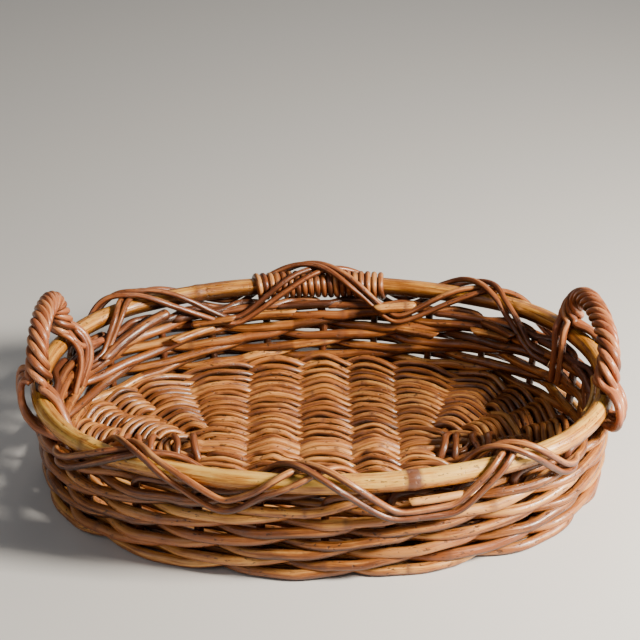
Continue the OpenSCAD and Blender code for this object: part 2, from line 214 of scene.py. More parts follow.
class Canes:
    """Collects swept canes and makes them one mesh. The number given at making says how far
    round from their tops the canes are darkened with painted shade, which stands in for the
    shade on their lower sides."""

    def __init__(self, painted_shade_reach=0.45):
        self.painted_shade_reach = painted_shade_reach
        self.verts, self.faces, self.grain, self.look = [], [], [], []
        self.count = 0

    def add(self, path, radius, tone=None, hue=None, closed=False, sides=10,
            cut=(False, False), knots=0.0, flat=1.0, slant=0.0, knot_list=()):
        """Adds one cane along path. tone and hue are each a number or one per
        ring, random if left out. cut says which ends are cut and not rounded.
        knots is how many nodes a metre, and knot_list gives places for more.
        flat squeezes the cane, and slant is the slope of an oblique cut."""
        p = np.asarray(path, float)
        n = len(p)
        t, side, other = cane_frame(p, closed)
        steps = np.linalg.norm(np.diff(p, axis=0), axis=1)
        along = np.concatenate([[0], np.cumsum(steps)])
        length = along[-1]
        r = np.full(n, float(radius))
        r *= 1 + wander(n, 0.03, 6 + length * 20, closed)
        mark = np.zeros(n)
        places = list(knot_list)
        for _ in range(int(knots * length + rng.uniform(0, 1))):
            places.append(rng.uniform(0.02, 0.98) * length)
        for place in places:
            ring = np.exp(-((along - place) / (1.6 * MM + 0.25 * r)) ** 2)
            r *= 1 + 0.07 * ring
            mark = np.maximum(mark, ring)
        tone = np.broadcast_to(rng.uniform(0, 1) if tone is None else tone, (n,))
        hue = np.broadcast_to(rng.uniform(0, 1) if hue is None else hue, (n,))
        shift = rng.uniform(0, 40)
        base = self.count
        ang = np.arange(sides) * TAU / sides
        ca, sa = np.cos(ang), np.sin(ang) * flat
        v = (p[:, None] + r[:, None, None]
             * (ca[None, :, None] * side[:, None] + sa[None, :, None] * other[:, None]))
        if slant:
            # An oblique cut moves the points of the last ring along the cane
            lean = slant * r[-1] * ca
            v[-1] += lean[:, None] * t[-1]
        g = np.empty((n, sides, 3))
        g[..., 0] = r[:, None] * ca
        g[..., 1] = r[:, None] * np.sin(ang)
        g[..., 2] = along[:, None] + shift
        look = np.empty((n, sides, 3))
        # Painted shade: the sides that face down are darkened, standing in for the shade under
        # each cane
        rise = ca * side[:, 2:] + sa * other[:, 2:]
        look[..., 0] = tone[:, None] - np.clip(self.painted_shade_reach - rise, 0, 1)
        look[..., 1] = hue[:, None]
        look[..., 2] = mark[:, None]
        self.verts.append(v.reshape(-1, 3))
        self.grain.append(g.reshape(-1, 3))
        self.look.append(look.reshape(-1, 3))
        self.count += n * sides
        last = n if closed else n - 1
        i = np.arange(last)[:, None]
        k = np.arange(sides)[None, :]
        k2 = (k + 1) % sides
        i2 = (i + 1) % n
        quads = np.stack([base + i * sides + k, base + i2 * sides + k,
                          base + i2 * sides + k2, base + i * sides + k2], -1)
        self.faces.extend(quads.reshape(-1, 4)[:, ::-1].tolist())
        if not closed:
            self._end(v[0], -t[0], g[0], look[0], base, cut[0], False)
            self._end(v[-1], t[-1], g[-1], look[-1], base + (n - 1) * sides, cut[1], True)

    def _end(self, ring, out, grain, look, start, is_cut, forward):
        """Closes an end with a small bevel and a flat or rounded face."""
        sides = len(ring)
        middle = ring.mean(0)
        size = np.linalg.norm(ring[0] - middle)
        if is_cut:
            steps = ((0.9, 0.1), (0.88, 0.1), (0.45, 0.06))
        else:
            steps = ((0.85, 0.35), (0.5, 0.62))
        before = start
        for scale, push in steps:
            verts = middle + (ring - middle) * scale + out * size * push
            paint = look.copy()
            if is_cut and scale < 0.9:
                paint[:, 2] = -1.0
            self.verts.append(verts)
            self.grain.append(grain * (scale, scale, 1))
            self.look.append(paint)
            for k in range(sides):
                k2 = (k + 1) % sides
                quad = [before + k, before + k2, self.count + k2, self.count + k]
                self.faces.append(quad if forward else quad[::-1])
            before = self.count
            self.count += sides
        tip = middle + out * size * (0.04 if is_cut else 0.7)
        self.verts.append(tip[None])
        self.grain.append((grain.mean(0))[None])
        paint = look[:1].copy()
        if is_cut:
            paint[:, 2] = -0.6
        self.look.append(paint)
        for k in range(sides):
            tri = [before + k, before + (k + 1) % sides, self.count]
            self.faces.append(tri if forward else tri[::-1])
        self.count += 1

    def make(self, name, material, slot, *nodes):
        mesh = bpy.data.meshes.new(name)
        verts = np.concatenate(self.verts)
        # The lowest canes are worn flat where they stand on the table
        verts[:, 2] = np.maximum(verts[:, 2], 0)
        mesh.from_pydata(verts.tolist(), [], self.faces)
        mesh.polygons.foreach_set("use_smooth", [True] * len(mesh.polygons))
        for label, data in (("grain", self.grain), ("look", self.look)):
            layer = mesh.attributes.new(label, "FLOAT_VECTOR", "POINT")
            layer.data.foreach_set("vector", np.concatenate(data).astype(np.float32).ravel())
        mesh.update()
        piece = bpy.data.objects.new(name, mesh)
        bpy.context.scene.collection.objects.link(piece)
        piece.data.materials.append(material)
        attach(piece, "root")
        if nodes:
            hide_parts(*nodes)
        return piece


# ---------------------------------------------------------------- materials
class Nodes:
    """Short way to build a shader tree."""

    def __init__(self, name):
        self.material = bpy.data.materials.new(name)
        self.material.use_nodes = True
        self.tree = self.material.node_tree
        self.tree.nodes.clear()

    def node(self, kind, **inputs):
        n = self.tree.nodes.new(kind)
        for key, value in inputs.items():
            if hasattr(n, key):
                setattr(n, key, value)
        return n

    def wire(self, value, socket):
        if isinstance(value, bpy.types.NodeSocket):
            self.tree.links.new(value, socket)
        else:
            socket.default_value = value

    def math(self, op, a, b=0.0, clamp=False):
        n = self.node("ShaderNodeMath", operation=op, use_clamp=clamp)
        self.wire(a, n.inputs[0])
        self.wire(b, n.inputs[1])
        return n.outputs[0]

    def mix(self, factor, a, b):
        n = self.node("ShaderNodeMix", data_type="RGBA")
        self.wire(factor, n.inputs["Factor"])
        self.wire(a, n.inputs[6])
        self.wire(b, n.inputs[7])
        return n.outputs[2]

    def noise(self, vector, detail, rough, scale):
        """Noise whose scale is given for each axis of the vector."""
        mapping = self.node("ShaderNodeMapping")
        mapping.inputs["Scale"].default_value = scale
        self.wire(vector, mapping.inputs["Vector"])
        n = self.node("ShaderNodeTexNoise")
        n.inputs["Scale"].default_value = 1.0
        n.inputs["Detail"].default_value = detail
        n.inputs["Roughness"].default_value = rough
        self.wire(mapping.outputs[0], n.inputs["Vector"])
        return n.outputs["Fac"]

    def band(self, value, low, high):
        n = self.node("ShaderNodeMapRange", interpolation_type="SMOOTHSTEP")
        self.wire(value, n.inputs["Value"])
        n.inputs["From Min"].default_value = low
        n.inputs["From Max"].default_value = high
        return n.outputs["Result"]


def cane_material(name, dark, middle, light, red, gloss=0.35, speck=0.8, mottle=1.1):
    """Varnished peeled cane: long streaks, blotches, nodes and dark specks."""
    m = Nodes(name)
    grain = m.node("ShaderNodeAttribute", attribute_name="grain").outputs["Vector"]
    look = m.node("ShaderNodeAttribute", attribute_name="look").outputs["Vector"]
    split = m.node("ShaderNodeSeparateXYZ")
    m.wire(look, split.inputs[0])
    tone, hue, mark = split.outputs
    streak = m.noise(grain, 3, 0.6, (330, 330, 10))
    blotch = m.noise(grain, 3, 0.6, (90, 90, 40))
    fibre = m.noise(grain, 4, 0.75, (950, 950, 45))
    speckle = m.noise(grain, 2, 0.5, (400, 400, 190))
    patch = m.noise(grain, 2, 0.5, (30, 30, 11))
    level = m.math("ADD", m.math("MULTIPLY", tone, 0.7),
                   m.math("MULTIPLY", m.math("SUBTRACT", streak, 0.5), 2.0))
    level = m.math("ADD", level, m.math("MULTIPLY", m.math("SUBTRACT", blotch, 0.40), mottle))
    level = m.math("ADD", level, m.math("MULTIPLY", m.math("SUBTRACT", fibre, 0.5), 1.4), True)
    ramp = m.node("ShaderNodeValToRGB")
    stops = ramp.color_ramp.elements
    stops[0].position, stops[0].color = 0.05, (*dark, 1)
    stops[1].position, stops[1].color = 0.95, (*light, 1)
    mid = stops.new(0.5)
    mid.color = (*middle, 1)
    m.wire(level, ramp.inputs[0])
    reddish = m.math("MULTIPLY", m.band(m.math("ADD", hue, m.math("MULTIPLY", patch, 0.5)),
                                       0.62, 1.3), 0.75)
    colour = m.mix(reddish, ramp.outputs[0], (*red, 1))
    # Dark specks and scars
    specks = m.math("MULTIPLY", m.band(speckle, 0.61, 0.68), m.band(patch, 0.40, 0.54))
    colour = m.mix(m.math("MULTIPLY", specks, speck), colour, (0.055, 0.022, 0.01, 1))
    # Painted shade: where the tone is below nothing, on the sides darkened with painted shade,
    # the colour goes almost black
    shade_black = m.band(m.math("MULTIPLY", tone, -1.0), -0.25, 0.55)
    colour = m.mix(m.math("MULTIPLY", shade_black, 0.85), colour, (0.022, 0.009, 0.004, 1))
    # Nodes are red-brown rings, cut ends are pale pith
    ring = m.math("MAXIMUM", mark, 0.0)
    ring = m.math("MULTIPLY", ring, m.math("ADD", 0.35, m.math("MULTIPLY", blotch, 0.8)))
    colour = m.mix(ring, colour, (0.17, 0.060, 0.026, 1))
    pith = m.math("MAXIMUM", m.math("MULTIPLY", mark, -1.0), 0.0)
    colour = m.mix(m.math("MULTIPLY", pith, 0.75), colour, (0.50, 0.31, 0.155, 1))
    shader = m.node("ShaderNodeBsdfPrincipled")
    m.wire(colour, shader.inputs["Base Color"])
    rough = m.math("ADD", gloss, m.math("MULTIPLY", m.math("SUBTRACT", fibre, 0.5), 0.8))
    rough = m.math("ADD", rough, m.math("MULTIPLY", pith, 0.3), True)
    m.wire(rough, shader.inputs["Roughness"])
    shader.inputs["Coat Weight"].default_value = 0.22
    shader.inputs["Coat Roughness"].default_value = 0.16
    shader.inputs["Specular IOR Level"].default_value = 0.5
    height = m.math("ADD", m.math("MULTIPLY", fibre, 0.35), m.math("MULTIPLY", streak, 0.8))
    height = m.math("SUBTRACT", height, m.math("MULTIPLY", specks, 0.5))
    bump = m.node("ShaderNodeBump")
    bump.inputs["Strength"].default_value = 0.8
    bump.inputs["Distance"].default_value = 0.0009
    m.wire(height, bump.inputs["Height"])
    m.wire(bump.outputs[0], shader.inputs["Normal"])
    out = m.node("ShaderNodeOutputMaterial")
    m.wire(shader.outputs[0], out.inputs[0])
    return m.material


WALL = cane_material("wall_cane", (0.15, 0.041, 0.008), (0.40, 0.133, 0.026),
                     (0.72, 0.34, 0.085), (0.32, 0.090, 0.024))
FLOOR = cane_material("floor_cane", (0.17, 0.048, 0.010), (0.42, 0.142, 0.030),
                      (0.72, 0.33, 0.090), (0.36, 0.108, 0.036))
DARK = cane_material("stake_cane", (0.075, 0.020, 0.006), (0.19, 0.055, 0.015),
                     (0.40, 0.145, 0.040), (0.16, 0.044, 0.016))
LACING = cane_material("lacing_cane", (0.13, 0.034, 0.010), (0.32, 0.098, 0.027),
                       (0.62, 0.27, 0.080), (0.31, 0.083, 0.029))
HANDLE = cane_material("handle_cane", (0.17, 0.045, 0.014), (0.39, 0.120, 0.038),
                       (0.64, 0.27, 0.100), (0.40, 0.112, 0.044), speck=0.3)
HOOP = cane_material("hoop_cane", (0.30, 0.095, 0.010), (0.62, 0.255, 0.034),
                     (0.84, 0.48, 0.095), (0.46, 0.160, 0.020), gloss=0.33, speck=0.6,
                     mottle=1.3)


# ---------------------------------------------------------------- floor
FLOOR_ROUNDS = 15
# Rounds narrower than these pass 1 or 5 sticks in each end, and the rest pass 9
ONE_STICK_B = 34 * MM
FIVE_STICKS_B = 105 * MM
FLOOR_RING_STEP = 3.0 * MM
# How far the floor's edge rises towards the wall
EDGE_RISE = 5 * MM
# How far paired weavers swing apart between two sticks
PAIR_SWING = 2.5 * MM


def oval_curve(a, b, r, step):
    """Closed four-arc oval as (points, outward normals), evenly spaced."""
    big = ((a - r) ** 2 + b * b - r * r) / (2 * (b - r))
    turn = math.atan2(big - b, a - r)
    end_len = r * turn
    quarter = end_len + big * (math.pi / 2 - turn)
    n = int(4 * quarter / step / 4) * 4
    out = np.zeros((n, 4))
    for i in range(n):
        s = 4 * quarter * (i + 0.5) / n
        q = int(s // quarter)
        s -= q * quarter
        if q % 2:
            s = quarter - s
        if s < end_len:
            ang = s / r
            x, y = a - r + r * math.cos(ang), r * math.sin(ang)
        else:
            ang = turn + (s - end_len) / big
            x, y = big * math.cos(ang), big * math.sin(ang) - (big - b)
        sx = -1 if q in (1, 2) else 1
        sy = -1 if q in (2, 3) else 1
        out[i] = x * sx, y * sy, math.cos(ang) * sx, math.sin(ang) * sy
    return out


def stick_phase(x):
    """Number of cross sticks passed to the right of the middle one."""
    return np.interp(x, STICK_X, np.arange(-2.0, 3.0))


def floor_phase(x, y, fan):
    """Sticks passed, counted anticlockwise, at each point of a floor round
    with fan sticks in each end of the base."""
    half = (fan + 1) // 2
    angles = np.array([90.0, 0.0]) if fan == 1 \
        else np.concatenate([[90.0], np.linspace(FAN_EDGE, 0, half)])
    past = np.where(x > 0, x - STICK_X[-1], STICK_X[0] - x)
    ang = np.degrees(np.arctan2(np.abs(y), np.maximum(past, 1e-9)))
    beyond = np.interp(-ang, -angles, np.arange(half + 1.0))
    top = np.where(past <= 0, stick_phase(x), np.sign(x) * (2 + beyond))
    whole_turn = 4 * (2 + half)
    return np.where(y >= 0, -top, whole_turn / 2 + top)


def over_sticks(phase, x, y):
    """Height of a weaver, in humps, that crosses over the sticks at even
    phases: tall narrow humps over some cross sticks and flat bars over others."""
    wave = np.cos(math.pi * phase)
    back = np.clip((y - 30 * MM) / (50 * MM), 0, 1)
    columns = np.arange(-2.0, 3.0)
    tall = (1 - back) * np.interp(stick_phase(x), columns, (0.86, 1.3, 0.84, 1.3, 0.86)) \
        + back * np.interp(stick_phase(x), columns, (0.95, 0.95, 1.25, 0.95, 0.95))
    middle = np.abs(x) < 1.2 * STICK_X[-1]
    tall = np.where(middle, tall, 1.0)
    power = np.where(middle, np.clip(0.55 + (tall - 0.84) * 1.6, 0.55, 1.25), 1.0)
    return np.where(wave > 0, tall * np.abs(wave) ** power, wave)


def splices(passed, chance, low, high, hue_top=1.0):
    """A tone and hue for each ring, new where a cane is spliced."""
    paints, tone, hue = {}, np.zeros(len(passed)), np.zeros(len(passed))
    current = (0.6, 0.4)
    for i, key in enumerate(passed):
        if key not in paints:
            if not paints or rng.uniform() < chance:
                current = (rng.uniform(low, high), rng.uniform(0, hue_top))
            paints[key] = current
        tone[i], hue[i] = paints[key]
    return tone, hue


def floor():
    # The floor canes get painted shade far round from their tops
    canes = Canes(0.9)
    _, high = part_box("floor_weave_upper")
    outer_a = high.x - WEAVER_R
    outer_b = high.y - WEAVER_R
    outer_r = END_R - (RIM_A - outer_a)
    inner_b = long_high.y + WEAVER_R + 0.4 * MM
    inner_r = 0.876 * inner_b
    inner_a = long_high.x + inner_r + 1 * MM
    for k in range(FLOOR_ROUNDS):
        f = k / (FLOOR_ROUNDS - 1)
        a = inner_a + f * (outer_a - inner_a)
        b = inner_b + f * (outer_b - inner_b)
        r = inner_r + f * (outer_r - inner_r)
        fan = 1 if b < ONE_STICK_B else (5 if b < FIVE_STICKS_B else 9)
        curve = oval_curve(a, b, r, FLOOR_RING_STEP)
        x, y = curve[:, 0], curve[:, 1]
        phase = floor_phase(x, y, fan)
        n = len(curve)
        edge_rise = EDGE_RISE * max(0.0, (f - 0.8) / 0.2) ** 2
        for rod in (0, 1):
            z = STICK_Z + HUMP * over_sticks(phase + rod, x, y)
            z += edge_rise + wander(n, 0.45 * MM, 40, True)
            side = PAIR_SWING * np.sin(math.pi * (phase + rod)) + wander(n, 0.7 * MM, 34, True)
            pts = np.stack([x + side * curve[:, 2], y + side * curve[:, 3], z], 1)
            pts[:, 2] = np.maximum(pts[:, 2], WEAVER_R + 0.6 * MM)
            # Canes are spliced where they pass under a stick
            tone, hue = splices(np.floor((phase + rod) / 2 + 0.5).astype(int), 0.5,
                                0.25, 1.0, 0.6)
            canes.add(pts, WEAVER_R * rng.uniform(0.95, 1.12), tone, hue, True, 10, knots=7.0)
    canes.make("floor_weave", FLOOR, "floor_cane", "floor_weave_upper", "floor_weave_lower")


STICK_RINGS = 60
END_STICKS = 9
END_STICK_RINGS = 40
# Every second end stick starts further out, between its neighbours
LONG_END_START = 22 * MM
SHORT_END_START = 62 * MM
LONG_STICK_RINGS = 150
LONG_STICK_Y = 5.1 * MM
LONG_STICK_R = 3.7 * MM
TIE_RINGS = 26
# Loops that tie the ends of the long sticks: x in millimetres, and slope
TIES = ((-178, 0.1), (-166, -0.2), (-155, 0.15), (-134, -0.3), (-117, -0.25),
        (112, 0.3), (121, 0.1), (138, -0.2), (151, 0.25))


def base_sticks():
    canes = Canes()
    n = STICK_RINGS
    for x in STICK_X:
        reach = math.sqrt((SIDE_R - 38 * MM) ** 2 - x * x) - SIDE_CY + 14 * MM
        y = np.linspace(-reach, reach, n)
        pts = np.stack([x + wander(n, 0.5 * MM, 3), y, np.full(n, STICK_Z)], 1)
        canes.add(pts, STICK_R, 0.45, 0.5, sides=12, cut=(True, True), knots=6)
    canes.make("cross_sticks", FLOOR, "floor_stick", "base_cross_sticks")
    for side, node in ((1, "base_end_sticks_right"), (-1, "base_end_sticks_left")):
        canes = Canes()
        angles = np.radians(np.linspace(-FAN_EDGE, FAN_EDGE, END_STICKS))
        for j, ang in enumerate(angles):
            start = LONG_END_START if j % 2 == 0 else SHORT_END_START
            d = np.linspace(start, END_R - 26 * MM, END_STICK_RINGS)
            pts = np.stack([side * (STICK_X[-1] + d * math.cos(ang)),
                            d * math.sin(ang), np.full(END_STICK_RINGS, STICK_Z)], 1)
            canes.add(pts, STICK_R * 0.9, 0.4, 0.6, sides=12, cut=(True, True), knots=5)
        canes.make("end_sticks_right" if side > 0 else "end_sticks_left", FLOOR,
                   "floor_stick", node)
    # The long sticks bend over and under the cross sticks in pairs
    canes = Canes()
    n = LONG_STICK_RINGS
    for side in (-1, 1):
        for rod in (0, 1):
            x = np.linspace((-146 + 5 * rod + 3 * side) * MM, (129 + 3 * side - 6 * rod) * MM, n)
            drop = np.clip((-116 * MM - x) / (20 * MM), 0, 1)
            y = side * LONG_STICK_Y + wander(n, 0.6 * MM, 6)
            z = STICK_Z + HUMP * over_sticks(stick_phase(x) + rod, x, y)
            z = z * (1 - drop) + (STICK_Z - 1 * MM) * drop
            canes.add(np.stack([x, y, z], 1), LONG_STICK_R, 0.75, 0.5, cut=(True, True), knots=9)
    for x, slope in TIES:
        y = np.linspace(-17, 17, TIE_RINGS)
        z = 12 + 15 * np.cos(y / 17 * 1.45) ** 0.7
        pts = np.stack([x + slope * y + wander(TIE_RINGS, 1.2, 2), y, z], 1) * MM
        canes.add(pts, rng.uniform(2.8, 3.5) * MM, rng.uniform(-0.1, 0.3), 0.9, knots=9)
    canes.make("long_sticks", FLOOR, "floor_stick", "base_long_sticks")


# ---------------------------------------------------------------- wall
WALL_RINGS = 420
# How far the rods pass outside and inside the stakes' middle line. The two
# lowest rounds stay clear of the floor
REACH_OUT = 8.8 * MM
REACH_IN = 8.2 * MM
LOW_REACH_IN = 5.4 * MM
# A rod comes out low and goes in high: by STROKE_RISE over the whole stroke,
# and by STROKE_DIP more close to where it crosses the stakes' line
STROKE_RISE = 2.8 * MM
STROKE_DIP = 1.5 * MM


def wall():
    n = WALL_RINGS
    s = np.arange(n) * PERIMETER / n
    count = stake_count(s)
    where = np.array([rim_point(v) for v in s])
    for row, name in enumerate(WALES):
        z0 = wale_height(name)
        # The wall rods get only a little painted shade on their lower sides
        canes = Canes(0.2)
        reach_in = LOW_REACH_IN if row < 2 else REACH_IN
        for rod in (0, 1):
            # Two stakes outside, two inside; the next round is one stake on
            tau = (count + 0.5 + row + 2 * rod) % 4
            x = tau * math.pi / 2
            swing = np.tanh(1.55 * np.sin(x)) / math.tanh(1.55)
            n_off = np.where(swing > 0, REACH_OUT, reach_in) * swing
            coming_out = np.exp(-(np.minimum(tau, 4 - tau) / 0.3) ** 2)
            going_in = np.exp(-((tau - 2) / 0.3) ** 2)
            z = z0 - STROKE_RISE * np.cos(x) - STROKE_DIP * coming_out + STROKE_DIP * going_in
            z += wander(n, 0.7 * MM, 34, True)
            if row == 0:
                z = np.maximum(z, WALE_R + 0.1 * MM)
            off = np.array([stake_off(v) for v in z]) + n_off
            off += wander(n, 0.5 * MM, 30, True)
            pts = np.stack([where[:, 0] + off * np.cos(where[:, 2]),
                            where[:, 1] + off * np.sin(where[:, 2]), z], 1)
            # Spliced inside, so each outside stroke can have its own tone
            stroke = np.floor((count + 0.5 + row + 2 * rod) / 4 + 0.25).astype(int) % 6
            tone, hue = splices(stroke, 0.9, 0.25, 1.2)
            # Painted shade: the back of the basket is made darker than the front
            tone = tone - 0.15 * (1 + np.sin(s / PERIMETER * TAU))
            canes.add(pts, WALE_R * rng.uniform(0.96, 1.1), tone, hue, True, 12, knots=7)
        canes.make("wall_" + name, WALL, "wall_cane", name)


STAKE_FOOT = 24 * MM
# Radii of the stakes' bends at the bottom and at the border
LOW_BEND = 6 * MM
TOP_BEND = 9 * MM
# How far inward the border moves on its way along the rim
BORDER_IN = 8.0 * MM


def stakes():
    """Uprights whose tops bend over and run on along the rim as the border."""
    groups = {"stakes_right": Canes(), "stakes_back": Canes(),
              "stakes_left": Canes(), "stakes_front": Canes()}
    names = list(groups)
    for i, s0 in enumerate(STAKE_S):
        canes = groups[names[i // 6]]
        pts = []
        low_off = stake_off(STICK_Z)
        for d in np.linspace(STAKE_FOOT, LOW_BEND, 5):
            pts.append(beside(s0, low_off - d, STICK_Z))
        for a in np.linspace(0.3, 1.27, 4):
            pts.append(beside(s0, low_off - LOW_BEND * (1 - math.sin(a)),
                              STICK_Z + LOW_BEND * (1 - math.cos(a))))
        top = BORDER_Z + rng.uniform(-0.6, 1.2) * MM
        lean = rng.normal() * 1.2 * MM
        for z in np.linspace(STICK_Z + 9 * MM, top - 11 * MM, 9):
            f = (z - STICK_Z) / (top - STICK_Z)
            pts.append(beside(s0 + lean * math.sin(math.pi * f), stake_off(z), z))
        for a in np.linspace(0.2, math.pi / 2, 5):
            pts.append(beside(s0 + TOP_BEND * (1 - math.cos(a)), STAKE_OFF + 0.5 * MM,
                              top - TOP_BEND + TOP_BEND * math.sin(a)))
        following = STAKE_KNOTS[i + 1]
        pitch = following - s0
        run = pitch * rng.uniform(1.75, 1.95)
        for d in np.linspace(TOP_BEND + 5 * MM, run, 26):
            inside = np.clip((d - 0.45 * pitch) / (0.45 * pitch), 0, 1)
            inside = inside * inside * (3 - 2 * inside)
            sag = 1.5 * MM * math.sin(math.pi * d / run)
            pts.append(beside(s0 + d, STAKE_OFF + 0.5 * MM - BORDER_IN * inside,
                              top + sag - 1.8 * MM * inside))
        canes.add(pts, STAKE_R * rng.uniform(0.95, 1.08), rng.uniform(0.1, 0.8),
                  rng.uniform(0.2, 1.0), sides=10, cut=(False, True), knots=6)
    for name, canes in groups.items():
        canes.make("border_" + name, DARK, "stake_cane", name)


# ---------------------------------------------------------------- rim
HOOP_RINGS = 560
HOOP_SIDES = 28
# x of the hoop's big node, at the front, and x of each small one with whether
# it is at the front
KNEE_X = 70 * MM
SMALL_NODES = ((-196 * MM, True), (190 * MM, False), (-120 * MM, False))
SPLINT_R = 3.4 * MM
BINDING_TURNS = 20
RINGS_A_TURN = 28
BINDING_R = 2.95 * MM


def s_at(x, front):
    """Arc length of the rim point with coordinate x, at the front or back."""
    grid = np.linspace(0, PERIMETER, 2800, endpoint=False)
    pts = np.array([rim_point(v)[:2] for v in grid])
    fit = np.abs(pts[:, 0] - x) + 10 * ((pts[:, 1] < 0) != front)
    return grid[np.argmin(fit)]


def hoop():
    canes = Canes()
    n = HOOP_RINGS
    s = np.arange(n) * PERIMETER / n
    knee = s_at(KNEE_X, True)
    others = [s_at(x, front) for x, front in SMALL_NODES]
    pts = np.array([beside(v, 0, RIM_Z) for v in s])
    pts[:, 2] += wander(n, 0.35 * MM, 8, True)
    # Painted shade: the back of the hoop is made darker than the front
    tone = 0.9 + wander(n, 0.12, 14, True) - 0.8 * (1 + np.sin(s / PERIMETER * TAU)) / 2
    canes.add(pts, RIM_R, tone, 0.15, True, HOOP_SIDES, knot_list=[knee] + others)
    # The knee is a broad red-brown patch, worn pale and fibrous beyond it
    look = canes.look[0].reshape(n, HOOP_SIDES, 3)
    broad = np.exp(-((s - knee) / (6.5 * MM)) ** 4)
    look[:, :, 2] = np.maximum(look[:, :, 2] * 0.75, broad[:, None] * 1.6)
    dry = np.exp(-((s - knee - 40 * MM) / (30 * MM)) ** 4)
    look[:, :, 0] += dry[:, None] * 0.35
    canes.make("rim_hoop_cane", HOOP, "hoop_cane", "rim_hoop")


def splint():
    canes = Canes()
    low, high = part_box("rim_splint")
    span = (high.y - low.y) / 2
    pts = []
    for f in np.linspace(-1, 1, 40):
        u = -(RIM_R + 2.6 * MM) + 1.0 * MM * f * f
        pts.append(beside((low.y + high.y) / 2 + f * span, u, RIM_Z - 3 * MM - 2 * MM * f))
    canes.add(pts, SPLINT_R, 1.3, 0.0, sides=12, cut=(True, True), flat=0.62)
    canes.make("rim_split_cane", HOOP, "hoop_cane", "rim_splint")


def binding():
    canes = Canes()
    low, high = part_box("rim_binding")
    half = (high.x - low.x) / 2 - 1.5 * MM
    n = BINDING_TURNS * RINGS_A_TURN
    pts = []
    for i in range(n):
        f = i / (n - 1)
        a = TAU * BINDING_TURNS * f
        s = QUARTER + half * (1 - 2 * f)
        reach = RIM_R + 2.3 * MM + 0.35 * MM * math.sin(3.1 * a)
        pts.append(beside(s, reach * math.cos(a), RIM_Z + reach * math.sin(a)))
    tone = np.repeat(rng.uniform(0.2, 1.0, BINDING_TURNS), RINGS_A_TURN)
    canes.add(pts, BINDING_R, tone, rng.uniform(0.3, 0.9), sides=10, knots=3)
    canes.make("hoop_binding", LACING, "lacing_cane", "rim_binding")


def lace_wave(scallops, depths, sign, over_binding, canes):
    """One pair of canes that waves over the hoop in scallops, each given as the
    arc lengths of its start, peak and end. depths gives how far below the hoop's
    middle it hangs between them, outside the wall. sign is +1 for the pair that
    starts outside."""
    path, out = [], []
    for j, (begin, peak, end) in enumerate(scallops):
        way = sign if j % 2 == 0 else -sign
        top = RIM_R + 2.9 * MM + (5.4 * MM if way < 0 else 0)
        top += over_binding if j == 1 else 0
        spots = np.concatenate([np.linspace(begin, peak, 22, endpoint=False),
                                np.linspace(peak, end, 22, endpoint=False)])
        if j + 1 < len(scallops) and abs(scallops[j + 1][0] - end) > 5 * MM:
            level = np.linspace(end, scallops[j + 1][0], 8, endpoint=False)
            spots = np.concatenate([spots, level])
        for s in spots:
            before = s < peak
            t = min((s - peak) / ((peak - begin) if before else (end - peak)), 1)
            outside = (way > 0) == before
            bottom = -depths[j if before else j + 1] if outside else -25 * MM
            w = (0.5 * (1 + math.cos(math.pi * t))) ** 0.72
            v = bottom + (top - bottom) * w
            swing = -way * math.sin(math.pi / 2 * max(-1, min(1, t / 0.5)))
            u = swing * (13.4 * MM + (-2.6 * MM if outside else 7.5 * MM) * (1 - w))
            r = math.hypot(u, v)
            clear = RIM_R + 2.9 * MM
            if v > -6 * MM and r < clear:
                u *= clear / r
                v *= clear / r
            path.append(beside(s, u, RIM_Z + v))
            nrm = rim_point(s)[2]
            direction = np.array([math.cos(nrm) * u, math.sin(nrm) * u, max(v, 0.1 * MM)])
            out.append(direction / np.linalg.norm(direction))
    # Both ends tuck in between the wall canes
    for at, step in ((0, -1), (-1, 1)):
        s = scallops[0][0] if at == 0 else scallops[-1][2]
        starts_out = (sign > 0) if at == 0 else ((sign > 0) == (len(scallops) % 2 == 0))
        u = 10.8 * MM if starts_out else -20.9 * MM
        v = -depths[at] if starts_out else -25 * MM
        towards = -9 * MM if starts_out else 7 * MM
        tail = [beside(s + step * f * 20 * MM, u + towards * f * f, RIM_Z + v - 5 * MM * f)
                for f in (0.15, 0.35, 0.6, 0.8, 1.0)]
        if at == 0:
            path, out = tail[::-1] + path, [out[0]] * 5 + out
        else:
            path, out = path + tail, out + [out[-1]] * 5
    path, out = np.array(path), np.array(out)
    for _ in range(3):
        path[1:-1] = 0.25 * path[:-2] + 0.5 * path[1:-1] + 0.25 * path[2:]
        out[1:-1] = 0.25 * out[:-2] + 0.5 * out[1:-1] + 0.25 * out[2:]
    t = np.gradient(path, axis=0)
    t /= np.linalg.norm(t, axis=1)[:, None]
    across = np.cross(t, out)
    across /= np.linalg.norm(across, axis=1)[:, None]
    n = len(path)
    spread = 2.9 * MM + np.abs(wander(n, 1.5 * MM, 7))
    for side in (-1, 1):
        pts = path + across * (side * spread + wander(n, 0.3 * MM, 9))[:, None]
        canes.add(pts, rng.uniform(2.7, 3.0) * MM, rng.uniform(0.1, 0.85), rng.uniform(0, 1),
                  sides=10, cut=(True, True), knots=9)


# For each side, in millimetres: x of every scallop's start, peak and end, left
# to right, and how deep the canes hang outside before, between and after them
LACING_PLANS = {
    "front": (((-213, -153, -79), (-79, -14, 58), (100, 150, 196)), (20, 19, 27, 19)),
    "back": (((-222, -186, -88), (-88, -1, 78), (78, 160, 214)), (22, 22, 22, 22))}
# How much higher the middle scallop at the back rides, over the binding
OVER_BINDING = 4.6 * MM


